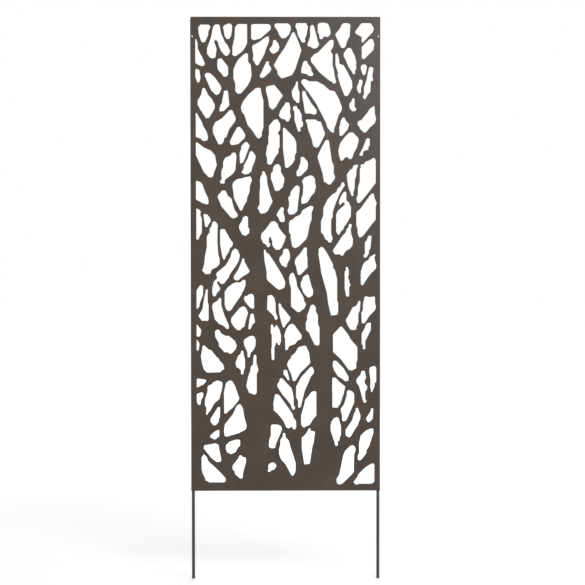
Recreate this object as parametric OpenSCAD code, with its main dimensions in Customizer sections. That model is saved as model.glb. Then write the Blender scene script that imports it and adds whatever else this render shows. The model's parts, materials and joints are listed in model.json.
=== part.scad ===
// Garden screen: a tall laser-cut sheet panel with folded returns, standing on two round
// steel stakes that sit inside its side returns and are bolted through near the lower corners.
//
// Frame: millimetres, Z up, the front face looks towards -Y. The origin lies midway between
// the two stakes, on their axis plane, at the lower edge of the panel (the ground line).

/* [Panel] */
// Width of the panel, side to side
panel_w = 600; // [560:1:700]
// Height of the panel, lower edge to upper edge
panel_h = 1500; // [1400:1:1650]
// Thickness of the sheet
sheet_t = 1.2; // [1:0.1:1.5]
// Depth of the folded returns, front face to rear edge
return_depth = 18; // [17:0.5:26]
// Outer radius of the folds
bend_r = 3; // [2.5:0.1:3.4]
// Outer radius of the two upper corners, seen from the front
corner_r = 4; // [3.6:0.1:6]

/* [Openings] */
// Radius that softens the corners of the cut openings
cut_r = 4; // [3:0.5:9]
// Distance of each cut inside the outline it is drawn with
cut_inset = 0.45; // [0:0.05:0.8]

/* [Screw holes] */
// Diameter of the four screw holes in the face
hole_d = 4.3; // [4.2:0.1:5]
// Distance of the upper holes below the upper edge
upper_hole_drop = 62; // [40:1:90]
// Height of the lower holes above the lower edge
lower_hole_rise = 60; // [40:1:75]

/* [Stakes] */
// Diameter of the stakes
stake_d = 10; // [8:0.1:10.6]
// Length of each stake below the panel
stake_below = 280; // [200:1:400]
// Length of each stake above its cross hole
stake_above_hole = 15; // [10:1:30]
// Chamfer on the stake ends
stake_chamfer = 0.8; // [0.4:0.1:1.5]
// Gap between a stake and the sheet around it
stake_gap = 0.3; // [0.2:0.05:0.6]
// Depth of the flat that seats the washer on the stake
flat_depth = 0.5; // [0.3:0.1:0.8]
// Length of that flat along the stake
flat_len = 11; // [10:0.5:14]
// Room left beside each stake in the lower return
stake_notch = 3.5; // [2:0.5:8]

/* [Stake fasteners] */
// Thread diameter of the screws
screw_d = 4; // [3:0.1:4]
// Length of the screws under the head
screw_len = 16; // [15:0.5:17]
// Gap under each head, filled by the coat on the face
seat_gap = 0.02; // [0.01:0.01:0.1]
// Diameter of the button heads
head_d = 7.6; // [6.5:0.1:8]
// Height of the button heads
head_h = 2.2; // [1.6:0.1:2.6]
// Width across the flats of the socket in the head
socket_af = 2.5; // [2:0.1:3]
// Depth of the socket
socket_depth = 1.3; // [0.8:0.1:1.4]
// Outer diameter of the washers
washer_d = 9; // [8:0.1:9]
// Thickness of the washers
washer_t = 0.8; // [0.5:0.1:1]
// Width across the flats of the nuts
nut_af = 7; // [6.5:0.1:7.5]
// Height of the nuts
nut_h = 3.2; // [2.4:0.1:3.4]
// Radial gap between a screw and the holes of its washer, nut and stake
screw_gap = 0.15; // [0.1:0.05:0.25]

/* [Hidden] */
$fn = 48;
// Width of the sheet the openings are drawn on
draw_w = 600;
// Height of that sheet
draw_h = 1500;
// Largest turn of one straight step on a softened corner, degrees
turn_step = 30;
// Corners that turn less than this stay as drawn, degrees
least_turn = 12;
// Share of a side that one softened corner may use up
side_share = 0.48;
// Least divisor of a mitred move, so that a pointed corner hardly moves along its opening
least_mitre = 0.3;
// Chamfer angle of the nut corners, degrees
nut_chamfer = 30;
// Number of steps on the dome of a screw head
dome_steps = 6;
// Overrun of cutting tools
over = 1;

bend_in = bend_r - sheet_t;
stake_r = stake_d / 2;
// Stake axis measured inwards from the outer face of the side return
stake_inset = sheet_t + stake_gap + stake_r;
stake_x = panel_w / 2 - stake_inset;
y_front = -(sheet_t + stake_gap + stake_r);
y_sheet = y_front + sheet_t;
y_rear = y_front + return_depth;
y_flat = stake_r - flat_depth;
z_upper = panel_h - upper_hole_drop;
z_lower = lower_hole_rise;
notch_x = stake_x - stake_r - stake_notch;
bore_d = screw_d + 2 * screw_gap;

// ---- Outlines of the openings -------------------------------------------------------------
// Millimetres on the drawing sheet, x from its left edge and y from its lower edge.
// A third number gives one corner a radius of its own.

top_left = [
  [[25, 1466], [32, 1475], [60, 1475], [65, 1467], [58, 1453], [57, 1441], [47, 1419],
   [36, 1419], [29, 1438], [27, 1447]],
  [[16, 1429, 2], [19, 1430, 2], [24, 1417], [24, 1400], [31, 1386], [40, 1369], [47, 1352],
   [44, 1345], [36, 1344], [22, 1350], [16, 1354]],
  [[76, 1474], [82, 1476], [93, 1475], [98, 1447], [110, 1420], [119, 1409], [127, 1390],
   [119, 1377], [111, 1376], [98, 1390], [91, 1405], [87, 1421], [80, 1428], [76, 1421],
   [84, 1399], [80, 1371], [70, 1368], [63, 1370], [53, 1383], [53, 1400], [66, 1436],
   [71, 1463]],
  [[103, 1466], [108, 1474], [116, 1476], [121, 1479], [128, 1478], [133, 1471], [132, 1454],
   [129, 1438], [123, 1429], [115, 1429], [108, 1440], [106, 1456]],
  [[141, 1465], [144, 1471], [151, 1477], [180, 1477], [180, 1416], [172, 1400], [162, 1388],
   [143, 1375], [133, 1378], [133, 1405], [140, 1438]],
  [[192, 1474], [199, 1477], [248, 1477], [256, 1469], [253, 1458], [222, 1431], [199, 1425],
   [192, 1432]],
  [[265, 1474], [270, 1479], [309, 1479], [317, 1471], [318, 1460], [312, 1443], [300, 1432],
   [289, 1431], [281, 1441], [276, 1454], [266, 1469]],
  [[240, 1437], [249, 1439], [249, 1421], [240, 1400], [234, 1381], [215, 1347], [208, 1346],
   [197, 1366], [199, 1377], [195, 1404], [197, 1410], [217, 1420], [230, 1430]],
  [[262, 1427], [269, 1427], [278, 1416], [282, 1403], [278, 1392], [265, 1383], [256, 1385],
   [249, 1397], [259, 1410]],
  [[322, 1451], [329, 1451], [343, 1418], [351, 1395], [346, 1378], [331, 1333], [321, 1316],
   [307, 1311], [288, 1305], [276, 1318], [274, 1330], [263, 1347], [278, 1374], [298, 1403],
   [317, 1440]],
  [[16, 1335, 3], [21, 1336], [29, 1333], [33, 1308], [29, 1293], [23, 1292], [16, 1309]],
  [[45, 1316], [50, 1324], [62, 1323], [77, 1310], [95, 1285], [99, 1274], [92, 1258],
   [82, 1252], [65, 1269], [50, 1304]],
  [[86, 1366], [93, 1369], [99, 1369], [120, 1342], [120, 1318], [115, 1311], [105, 1311],
   [99, 1320], [87, 1333], [85, 1347]],
  [[175, 1385], [183, 1384], [183, 1358], [191, 1350], [194, 1315], [189, 1297], [180, 1281],
   [160, 1258], [150, 1257], [142, 1265], [142, 1290], [136, 1306], [136, 1334], [144, 1353],
   [152, 1366], [168, 1381]],
  [[240, 1359], [250, 1361], [248, 1350], [257, 1337], [252, 1326], [231, 1307], [222, 1308],
   [218, 1313], [226, 1328]],
  [[207, 1276], [222, 1277], [225, 1258], [231, 1236], [231, 1151], [226, 1136], [226, 1124],
   [218, 1116], [211, 1118], [193, 1145], [181, 1158], [171, 1189], [162, 1202], [159, 1215],
   [166, 1233], [183, 1255]],
  [[240, 1281], [265, 1286], [283, 1265], [293, 1251, 2], [284, 1239], [270, 1215],
   [259, 1206], [249, 1216], [245, 1243], [240, 1260], [238, 1272]],
  [[38, 1275], [44, 1277], [48, 1273], [56, 1255], [68, 1242], [78, 1222], [77, 1210],
   [71, 1200], [63, 1187], [60, 1182], [50, 1179], [46, 1185], [38, 1197], [31, 1208],
   [23, 1223], [23, 1237], [34, 1254]],
  [[107, 1268], [119, 1268], [124, 1221], [118, 1215], [106, 1203], [94, 1201], [91, 1206],
   [95, 1223], [100, 1228], [101, 1240]],
];

top_right = [
  [[331, 1470], [335, 1480], [366, 1480], [372, 1468], [367, 1441], [362, 1430], [364, 1422],
   [360, 1418], [353, 1418], [340, 1440], [336, 1458]],
  [[378, 1467], [382, 1474], [390, 1474], [396, 1450], [401, 1432], [403, 1422], [408, 1413],
   [400, 1401], [390, 1399], [383, 1402], [379, 1406], [372, 1406], [369, 1411], [378, 1438]],
  [[402, 1476], [407, 1480], [420, 1482], [433, 1479], [438, 1473], [442, 1458], [444, 1446],
   [433, 1434], [424, 1439], [416, 1429], [408, 1429], [407, 1442], [402, 1452]],
  [[477, 1475], [484, 1480], [498, 1480], [506, 1475], [503, 1437], [495, 1423], [491, 1407],
   [485, 1401], [477, 1401], [472, 1410], [463, 1430], [457, 1444], [466, 1456],
   [474, 1466]],
  [[540, 1480], [570, 1480], [580, 1464], [577, 1452], [552, 1426], [545, 1417], [540, 1421],
   [541, 1436], [524, 1445], [519, 1451], [528, 1464]],
  [[565, 1429], [576, 1431], [581, 1413], [578, 1395], [549, 1366], [541, 1368], [541, 1405],
   [554, 1418]],
  [[439, 1425], [446, 1428], [453, 1427], [452, 1407], [443, 1391], [450, 1381], [449, 1350],
   [453, 1335], [455, 1320], [461, 1292], [452, 1288], [447, 1295], [438, 1299], [407, 1325],
   [381, 1358], [380, 1370], [390, 1381], [404, 1389]],
  [[458, 1384], [465, 1385], [470, 1366], [471, 1352], [484, 1348], [496, 1327], [511, 1297],
   [512, 1278], [498, 1251], [487, 1250], [474, 1283], [465, 1314], [466, 1323], [458, 1348]],
  [[496, 1402], [507, 1402], [520, 1376], [524, 1360], [524, 1336], [520, 1328], [521, 1319],
   [513, 1318], [511, 1325], [499, 1342], [489, 1366], [484, 1375], [484, 1386], [489, 1392]],
  [[538, 1345], [544, 1350], [554, 1350], [558, 1344], [555, 1325], [551, 1316], [545, 1315],
   [538, 1335]],
  [[564, 1341], [571, 1343], [579, 1339], [575, 1315], [578, 1299], [570, 1296], [569, 1264],
   [560, 1254], [553, 1240], [547, 1241], [544, 1249], [548, 1256], [548, 1276], [556, 1301]],
  [[532, 1302], [541, 1303], [545, 1295], [539, 1275], [539, 1260], [533, 1257], [526, 1270],
   [526, 1281], [532, 1293]],
  [[510, 1243], [519, 1244], [519, 1217], [525, 1210], [522, 1203], [511, 1202], [503, 1211],
   [501, 1225], [510, 1236]],
  [[349, 1324], [351, 1339], [357, 1359], [364, 1362], [370, 1359], [371, 1353], [382, 1339],
   [382, 1331], [389, 1320], [387, 1313], [375, 1313], [367, 1319], [356, 1321]],
  [[354, 1303], [363, 1304], [376, 1297], [400, 1297], [421, 1286], [440, 1269], [456, 1266],
   [469, 1243], [479, 1215], [478, 1205], [468, 1189], [458, 1156], [454, 1147], [455, 1138],
   [450, 1134], [443, 1138], [433, 1150], [428, 1167], [409, 1203], [399, 1223], [372, 1263],
   [367, 1268], [350, 1292], [351, 1300]],
  [[333, 1296], [340, 1297], [340, 1277], [345, 1262], [345, 1229], [337, 1228], [325, 1241],
   [321, 1251], [320, 1266], [333, 1288]],
  [[353, 1264], [356, 1267], [363, 1267], [367, 1254], [381, 1230], [399, 1206], [399, 1195],
   [393, 1192], [386, 1192], [380, 1195], [363, 1195], [360, 1206], [358, 1222], [353, 1250]],
  [[299, 1230], [312, 1231], [316, 1213], [315, 1199], [318, 1187], [311, 1171], [305, 1168],
   [299, 1176], [287, 1179], [279, 1188], [284, 1205], [299, 1226]],
  [[326, 1219], [336, 1220], [339, 1210], [345, 1209], [346, 1203], [352, 1192], [352, 1174],
   [356, 1167], [356, 1156], [352, 1152], [347, 1151, 2], [349, 1140], [344, 1138],
   [340, 1138], [329, 1173], [328, 1202], [323, 1211]],
  [[578, 1218], [582, 1219], [583, 1197], [587, 1177], [583, 1165], [567, 1151], [556, 1137],
   [549, 1134], [537, 1146], [527, 1162], [529, 1171], [540, 1175], [557, 1196], [567, 1211]],
];

upper_left = [
  [[17, 1197, 2], [20, 1198, 3], [37, 1168], [41, 1156], [52, 1138], [56, 1122], [55, 1111],
   [45, 1108], [38, 1109], [33, 1116], [17, 1121]],
  [[124, 1206], [132, 1208], [144, 1180], [142, 1171], [123, 1146], [114, 1121],
   [107, 1117], [105, 1105], [99, 1099], [89, 1097], [71, 1135], [71, 1152], [78, 1168],
   [100, 1181]],
  [[148, 1153], [157, 1154], [166, 1142], [174, 1129], [172, 1118], [162, 1109], [152, 1099],
   [137, 1096], [127, 1096], [124, 1107], [135, 1130]],
  [[170, 1104], [179, 1107], [188, 1094], [180, 1074], [168, 1042], [158, 1037], [156, 1040],
   [155, 1071], [160, 1084], [161, 1093]],
  [[188, 1077], [197, 1076], [207, 1061], [203, 1043], [195, 1025], [194, 1015],
   [184, 1005], [170, 1003], [160, 1010], [168, 1022], [168, 1031], [181, 1055]],
  [[132, 1072], [143, 1073], [146, 1060], [142, 1016], [134, 1005], [114, 990], [108, 984],
   [109, 976], [104, 974], [95, 975], [92, 981], [98, 987], [98, 996], [97, 1006],
   [98, 1017], [103, 1026], [103, 1043], [109, 1056], [127, 1064]],
  [[17, 1104, 2], [22, 1105], [42, 1089], [65, 1079], [78, 1064], [81, 1046], [84, 1033],
   [75, 1010], [72, 998], [66, 993], [57, 995], [41, 1012], [25, 1047], [17, 1065]],
  [[17, 984, 3], [22, 983], [31, 980], [38, 973], [45, 952], [56, 929], [58, 912],
   [53, 908], [37, 913], [17, 924]],
  [[98, 952], [105, 954], [111, 952], [120, 934], [129, 929], [135, 907], [139, 893],
   [151, 875], [147, 869], [137, 864], [128, 867], [97, 903], [89, 924], [85, 931],
   [88, 940], [93, 944]],
  [[150, 990], [161, 991], [172, 995], [190, 998], [195, 986], [188, 967], [187, 948],
   [179, 930], [179, 921], [169, 904], [163, 889], [157, 889], [137, 928], [136, 942],
   [132, 968], [134, 978], [143, 986]],
  [[226, 1011], [231, 1015], [235, 1011], [242, 995], [243, 976], [251, 943], [260, 918],
   [253, 905], [244, 887], [235, 881], [221, 879], [212, 897], [214, 903], [218, 908],
   [218, 950], [220, 962], [219, 985], [221, 996], [226, 1004]],
  [[265, 1032], [277, 1038], [286, 1027], [286, 1012], [297, 992], [296, 978], [292, 963],
   [278, 951], [267, 951], [260, 974], [254, 989], [254, 1006], [260, 1014], [261, 1024]],
  [[264, 1176], [275, 1178], [284, 1163], [284, 1145], [276, 1134], [282, 1126],
   [282, 1089], [278, 1083], [279, 1073], [266, 1054], [257, 1036], [250, 1033],
   [242, 1038], [242, 1054], [238, 1068], [241, 1084], [242, 1094], [246, 1100],
   [246, 1125], [248, 1129], [248, 1157]],
  [[292, 1149], [297, 1152], [322, 1126], [331, 1115], [335, 1100], [335, 1073],
   [330, 1063], [330, 1050], [322, 1036], [308, 1024], [299, 1024], [297, 1045],
   [292, 1085]],
];

upper_right = [
  [[364, 1175], [368, 1177], [395, 1177], [401, 1172], [412, 1170], [426, 1131], [418, 1114],
   [405, 1090], [396, 1087], [387, 1094], [384, 1112], [371, 1146], [368, 1165], [364, 1170]],
  [[480, 1183], [486, 1184], [491, 1174], [502, 1161], [497, 1145], [486, 1132], [479, 1125],
   [471, 1124], [470, 1152], [473, 1160], [473, 1168]],
  [[501, 1135], [513, 1137], [531, 1118], [532, 1109], [526, 1087], [517, 1072], [511, 1054],
   [505, 1051], [500, 1052], [497, 1058], [489, 1057], [481, 1047], [474, 1046], [469, 1064],
   [467, 1080], [473, 1102], [487, 1121]],
  [[556, 1117], [562, 1118], [567, 1117], [567, 1094], [562, 1090], [564, 1081], [550, 1078],
   [546, 1074], [545, 1062], [534, 1062], [534, 1067], [545, 1088]],
  [[427, 1111], [432, 1113], [438, 1110], [447, 1045], [453, 1032], [453, 1006], [458, 996],
   [455, 987], [442, 971], [435, 971], [428, 978], [422, 978], [417, 1008], [404, 1048],
   [401, 1060], [413, 1087]],
  [[348, 1057], [352, 1059], [358, 1059], [370, 1045], [372, 1034], [370, 1020],
   [351, 1000], [343, 997], [335, 998], [335, 1013], [341, 1021], [348, 1044]],
  [[514, 1031], [519, 1033], [529, 1035], [530, 1030], [525, 1018], [524, 997], [520, 988],
   [519, 960], [515, 946], [516, 935], [509, 935], [499, 962], [495, 985], [494, 1004],
   [505, 1019], [512, 1021]],
  [[573, 1053], [578, 1056], [584, 1054], [586, 1046], [586, 977], [572, 958], [550, 930],
   [536, 914], [528, 912], [524, 926], [529, 940], [529, 963], [535, 981], [535, 1019],
   [538, 1026], [537, 1034], [548, 1037], [555, 1045], [564, 1047]],
  [[360, 994], [379, 1001], [387, 999], [394, 989], [394, 979], [397, 965], [392, 946],
   [381, 934], [370, 915], [357, 910], [350, 911], [350, 928], [355, 942], [356, 970],
   [352, 982]],
  [[330, 966], [337, 970], [345, 964], [345, 950], [340, 910], [338, 888], [329, 879],
   [320, 876], [311, 877], [306, 889], [311, 903], [311, 918], [308, 929], [315, 938],
   [317, 950]],
  [[370, 900], [380, 905], [390, 902], [383, 881], [383, 861], [377, 845], [371, 812],
   [366, 799], [342, 775], [330, 770], [321, 776], [316, 803], [316, 814], [311, 820],
   [311, 850], [315, 859], [323, 861], [330, 869], [347, 877], [354, 891]],
  [[478, 978], [483, 980], [489, 970], [472, 943], [459, 912], [450, 885], [450, 870],
   [445, 860], [445, 816], [450, 802], [445, 788], [437, 788], [432, 795], [426, 798],
   [420, 812], [412, 821], [412, 855], [419, 873], [420, 898], [433, 925], [449, 941],
   [461, 948], [465, 960], [473, 965]],
  [[481, 944], [486, 950], [493, 948], [493, 921], [500, 917], [508, 899], [507, 871],
   [493, 847], [486, 838], [484, 831], [475, 822], [471, 813], [466, 812], [460, 823],
   [460, 876], [465, 888], [482, 903], [488, 909], [486, 915], [480, 914], [475, 907],
   [469, 908], [469, 917], [474, 932]],
  [[571, 941], [576, 944], [580, 942], [582, 929], [589, 913], [586, 902], [586, 861],
   [570, 841], [544, 807], [533, 803], [528, 818], [528, 831], [524, 843], [524, 884],
   [537, 895], [558, 925], [562, 929], [564, 934]],
];

middle_left = [
  [[18, 896, 2], [21, 896, 3], [31, 890], [33, 885], [31, 876], [36, 864], [36, 820],
   [29, 808], [25, 797], [18, 797, 3]],
  [[40, 877], [45, 879], [52, 878], [61, 868], [65, 857], [55, 842], [54, 837], [46, 837],
   [44, 852]],
  [[69, 853], [75, 857], [86, 847], [85, 790], [88, 750], [92, 737], [92, 720], [82, 710],
   [69, 704], [65, 699], [63, 689], [47, 688], [36, 700], [42, 717], [45, 745], [51, 775],
   [51, 808], [60, 821], [60, 832], [66, 841]],
  [[93, 829], [102, 832], [109, 830], [125, 800], [135, 787], [132, 777], [124, 769],
   [122, 760], [111, 744], [109, 735], [103, 734], [99, 748], [93, 782]],
  [[133, 764], [141, 771], [150, 764], [156, 748], [153, 732], [145, 717], [124, 687],
   [121, 678], [106, 659], [99, 656], [92, 660], [89, 666], [84, 666], [84, 660], [94, 644],
   [92, 637], [84, 630], [79, 618], [71, 618], [68, 628], [68, 645], [73, 665], [84, 676],
   [80, 688], [83, 694], [111, 717], [125, 741], [130, 760]],
  [[162, 738], [170, 739], [171, 727], [188, 697], [178, 688], [165, 681], [151, 669],
   [144, 668], [136, 673], [136, 682], [150, 703], [162, 731]],
  [[156, 662], [166, 671], [174, 670], [174, 653], [168, 637], [163, 629], [161, 623],
   [142, 596], [127, 573], [118, 571], [111, 578], [107, 592], [107, 633], [119, 649],
   [133, 659], [145, 663]],
  [[164, 868], [175, 873], [182, 869], [182, 838], [187, 829], [185, 817], [173, 809],
   [163, 813], [153, 833], [153, 842], [164, 861]],
  [[254, 854], [263, 857], [272, 852], [277, 845], [278, 838], [291, 820], [302, 808],
   [297, 791], [288, 772], [281, 765], [269, 765], [258, 779], [258, 792], [252, 807],
   [248, 804], [248, 789], [253, 783], [250, 774], [242, 773], [239, 781], [229, 787],
   [222, 803], [224, 817], [236, 829]],
  [[285, 899], [291, 901], [296, 896], [294, 884], [299, 861], [297, 854], [290, 852],
   [283, 854], [278, 866], [271, 876], [277, 887]],
  [[231, 766], [238, 766], [239, 757], [248, 752], [265, 727], [292, 682], [300, 662],
   [297, 645], [281, 638], [273, 642], [244, 667], [240, 675], [240, 695], [233, 733]],
  [[292, 764], [297, 769], [308, 769], [314, 755], [315, 738], [306, 721], [304, 710],
   [298, 710], [287, 717], [280, 731], [281, 741], [292, 754]],
  [[18, 635, 3], [20, 640], [29, 653], [34, 655], [40, 649], [39, 622], [32, 604],
   [28, 593], [28, 586], [22, 579], [18, 579, 3]],
  [[48, 641], [54, 641], [54, 600], [57, 591], [57, 545], [53, 539], [45, 541], [35, 540],
   [29, 549], [23, 557], [28, 563], [37, 579], [40, 600], [45, 625]],
  [[89, 613], [97, 614], [97, 590], [107, 558], [121, 526], [121, 516], [115, 513],
   [104, 524], [89, 531], [76, 545], [67, 585], [70, 596], [85, 605]],
  [[178, 620], [186, 626], [197, 626], [201, 615], [201, 580], [193, 578], [182, 588],
   [170, 604], [168, 613], [171, 619]],
  [[243, 621], [257, 623], [265, 613], [269, 595], [269, 570], [276, 548], [272, 543],
   [267, 543], [262, 556], [241, 577]],
];

middle_right = [
  [[500, 845], [505, 848], [511, 846], [507, 829], [508, 818], [514, 798], [513, 780],
   [506, 770], [490, 760], [483, 747], [477, 746], [471, 751], [457, 750], [450, 760],
   [451, 766], [461, 781], [481, 811], [490, 820], [493, 830], [499, 837]],
  [[562, 809], [568, 811], [573, 808], [570, 775], [568, 767], [564, 762], [565, 754],
   [556, 740], [549, 740], [546, 747], [551, 753], [551, 788], [557, 796]],
  [[576, 748], [581, 752], [586, 750], [582, 741], [584, 730], [588, 716], [587, 706],
   [571, 690], [560, 676], [547, 655], [542, 652], [538, 656], [538, 696], [546, 720],
   [552, 728], [562, 733], [567, 743]],
  [[490, 711], [497, 712], [501, 700], [501, 687], [498, 678], [503, 665], [503, 660],
   [507, 654], [502, 646], [502, 617], [492, 617], [487, 643], [487, 696], [491, 701]],
  [[405, 769], [413, 775], [420, 773], [432, 755], [451, 719], [451, 709], [457, 701],
   [464, 672], [464, 605], [467, 597], [467, 568], [464, 559], [453, 558], [444, 556],
   [436, 590], [434, 603], [430, 632], [413, 692], [409, 721], [404, 750]],
  [[358, 771], [363, 774], [368, 772], [368, 748], [370, 738], [370, 709], [348, 686],
   [339, 685], [333, 713], [329, 723], [330, 733], [336, 743], [346, 753]],
  [[319, 692], [322, 694], [327, 690], [335, 668], [337, 650], [357, 616], [360, 602],
   [366, 594], [361, 581], [345, 568], [337, 568], [317, 586], [317, 645], [312, 660],
   [311, 678], [314, 687]],
  [[359, 683], [370, 689], [374, 684], [383, 649], [388, 637], [387, 622], [375, 613],
   [368, 616], [357, 628], [348, 650], [348, 662], [353, 671], [354, 677]],
  [[550, 616], [555, 619], [563, 616], [573, 616], [580, 619], [584, 614], [584, 597],
   [587, 584], [584, 574], [566, 556], [551, 532], [541, 532], [540, 566], [545, 574],
   [545, 592]],
  [[512, 583], [522, 587], [528, 595], [531, 604], [538, 604], [536, 574], [531, 562],
   [531, 534], [525, 520], [524, 511], [506, 511], [496, 527], [490, 543], [500, 559]],
];

lower_left = [
  [[155, 582], [167, 588], [175, 582], [182, 566], [174, 540], [170, 522], [164, 519],
   [155, 510], [147, 511], [135, 523], [127, 537], [128, 550]],
  [[190, 564], [199, 564], [204, 536], [195, 527], [189, 514], [184, 512], [182, 517],
   [185, 543]],
  [[18, 527, 2], [20, 530, 2], [34, 511], [30, 492], [25, 490], [18, 491, 3]],
  [[18, 480, 2], [21, 480], [28, 468], [25, 446], [18, 446, 3]],
  [[37, 462], [42, 464], [57, 450], [65, 448], [82, 426], [89, 422], [90, 416], [102, 404],
   [107, 388], [100, 384], [92, 377], [51, 376], [40, 387], [35, 406], [31, 428], [35, 447]],
  [[76, 508], [82, 513], [89, 513], [98, 500], [109, 494], [121, 493], [140, 477],
   [146, 462], [142, 450], [134, 441], [128, 436], [122, 436], [116, 441], [107, 440],
   [89, 460], [88, 471], [77, 490]],
  [[170, 483], [188, 493], [200, 493], [206, 481], [205, 462], [200, 450], [189, 437],
   [187, 424], [179, 424], [179, 440], [169, 462], [167, 474]],
  [[159, 446], [166, 447], [168, 433], [172, 418], [172, 392], [168, 383], [167, 371],
   [158, 369], [158, 384], [151, 390], [144, 393], [141, 408], [149, 429], [158, 438]],
  [[199, 433], [208, 433], [208, 407], [214, 386], [213, 379], [209, 373], [209, 313],
   [204, 306], [198, 306], [193, 310], [185, 310], [175, 333], [181, 364], [187, 380],
   [190, 397], [196, 401]],
  [[253, 529], [260, 530], [263, 520], [266, 519], [268, 527], [273, 527], [281, 513],
   [286, 494], [286, 475], [283, 468], [282, 463], [277, 463], [272, 475], [265, 455],
   [265, 417], [260, 415], [256, 417], [254, 450], [256, 459], [256, 496], [253, 502]],
  [[277, 596], [284, 596], [288, 586], [316, 551], [314, 542], [302, 529], [297, 519],
   [291, 519], [280, 561]],
  [[18, 358, 4], [24, 358], [47, 355], [50, 350], [41, 339], [21, 329], [18, 330, 3]],
  [[18, 309, 4], [34, 315], [40, 312], [39, 300], [32, 287], [31, 274], [23, 273],
   [18, 285]],
  [[57, 337], [66, 340], [70, 346], [84, 352], [95, 349], [101, 344], [99, 324],
   [93, 303], [91, 293], [74, 278], [60, 253], [55, 250], [53, 242], [47, 243], [49, 265], [44, 271],
   [44, 290], [52, 317], [52, 331]],
  [[112, 345], [122, 352], [131, 350], [140, 335], [154, 294], [147, 282], [131, 263],
   [119, 254], [112, 246], [105, 246], [104, 312], [110, 341]],
  [[281, 357], [287, 360], [292, 356], [320, 326], [326, 295], [326, 273], [331, 265],
   [329, 258], [321, 258], [315, 275], [303, 291], [289, 307], [273, 333], [274, 340],
   [280, 349]],
  [[293, 384], [298, 385], [305, 385], [313, 354], [310, 351], [306, 352], [302, 360],
   [293, 371]],
  [[312, 528], [320, 532], [328, 528], [341, 510], [352, 494], [350, 482], [339, 478],
   [331, 467], [312, 460], [306, 447], [299, 447], [298, 484], [295, 492], [302, 515]],
];

lower_right = [
  [[340, 457], [359, 462], [365, 461], [375, 440], [379, 408], [375, 402], [348, 376],
   [331, 349], [323, 348], [318, 369], [304, 400], [308, 413], [316, 422], [318, 429],
   [331, 440]],
  [[376, 391], [382, 396], [387, 392], [391, 382], [389, 373], [380, 362], [372, 342],
   [361, 318], [348, 265], [339, 264], [339, 287], [333, 297], [333, 332], [343, 350],
   [349, 362]],
  [[378, 588], [386, 593], [393, 589], [397, 579], [396, 571], [403, 558], [403, 530],
   [408, 519], [408, 468], [404, 460], [391, 465], [374, 503], [364, 512], [364, 536],
   [369, 546], [367, 554], [377, 581]],
  [[450, 497], [475, 524], [481, 520], [502, 492], [504, 485], [528, 457], [528, 415], [524, 405],
   [525, 390], [511, 382], [500, 384], [477, 416], [450, 442]],
  [[556, 531], [562, 534], [571, 536], [571, 512], [553, 475], [553, 450], [547, 449],
   [544, 452], [546, 459], [541, 467], [541, 499], [549, 514]],
  [[450, 412], [456, 415], [462, 413], [485, 389], [500, 363], [500, 349], [489, 348],
   [482, 354], [466, 364], [453, 384], [449, 398]],
  [[448, 360], [458, 361], [473, 345], [490, 332], [485, 310], [474, 277], [465, 264],
   [448, 264], [448, 310], [447, 320]],
  [[495, 319], [502, 321], [512, 316], [518, 309], [518, 280], [493, 224], [484, 220],
   [479, 223], [479, 241], [475, 252], [475, 262], [485, 275], [493, 302]],
  [[541, 382], [551, 382], [556, 359], [551, 350], [551, 344], [560, 331], [558, 321],
   [553, 316], [553, 292], [557, 287], [556, 280], [547, 280], [537, 317], [533, 332],
   [524, 346], [525, 356], [537, 369]],
  [[569, 394], [583, 398], [588, 390], [588, 346], [583, 342], [583, 333], [576, 316],
   [573, 313], [570, 315], [571, 321], [568, 328], [569, 352], [565, 380], [566, 389]],
  [[382, 315], [391, 318], [398, 316], [398, 240], [387, 227], [376, 209], [366, 206],
   [358, 200], [349, 210], [349, 240], [360, 280], [361, 290], [370, 299]],
];

base_left = [
  [[85, 267], [93, 268], [92, 234], [88, 229], [89, 221], [78, 208], [70, 210], [61, 221],
   [62, 230], [75, 251]],
  [[84, 194], [90, 195], [90, 174], [76, 163], [60, 171], [60, 176], [73, 188]],
  [[149, 275], [157, 277], [165, 263], [170, 233], [177, 207], [173, 195], [152, 184],
   [111, 172], [106, 176], [104, 192], [107, 212], [133, 245], [143, 268]],
  [[133, 161], [144, 164], [156, 163], [156, 145], [149, 138], [141, 123], [127, 117],
   [115, 122], [110, 132], [110, 146], [122, 157]],
  [[42, 146], [60, 149], [77, 152], [87, 148], [91, 127], [96, 100], [94, 92], [80, 92],
   [64, 105], [40, 135], [40, 141]],
  [[38, 117], [43, 116], [51, 107], [53, 98], [62, 88], [72, 80], [99, 53], [110, 40], [110, 30],
   [105, 27], [57, 27], [52, 31], [46, 32], [43, 43], [36, 57], [33, 70], [33, 108],
   [37, 111]],
  [[152, 113], [160, 114], [163, 108], [173, 108], [175, 95], [171, 80], [165, 57],
   [164, 41], [157, 38], [140, 52], [137, 63], [131, 69], [131, 80], [147, 101],
   [151, 106]],
  [[266, 307], [272, 309], [280, 305], [310, 263], [323, 243], [325, 233], [333, 223],
   [334, 205], [331, 195], [324, 196], [320, 205], [310, 198], [302, 202], [292, 224],
   [275, 245], [262, 256], [261, 280]],
  [[290, 184], [299, 185], [300, 171], [311, 159], [315, 141], [332, 90], [332, 62],
   [325, 48], [319, 48], [299, 85], [286, 99], [279, 116], [279, 134], [283, 148],
   [283, 162], [291, 174]],
  [[255, 211], [263, 212], [277, 211], [286, 206], [289, 197], [281, 176], [269, 148],
   [267, 136], [255, 135], [246, 140], [248, 163], [253, 178], [253, 205]],
  [[245, 84], [255, 91], [264, 90], [272, 80], [264, 67], [256, 66], [250, 60], [243, 60],
   [245, 75]],
];

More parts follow.
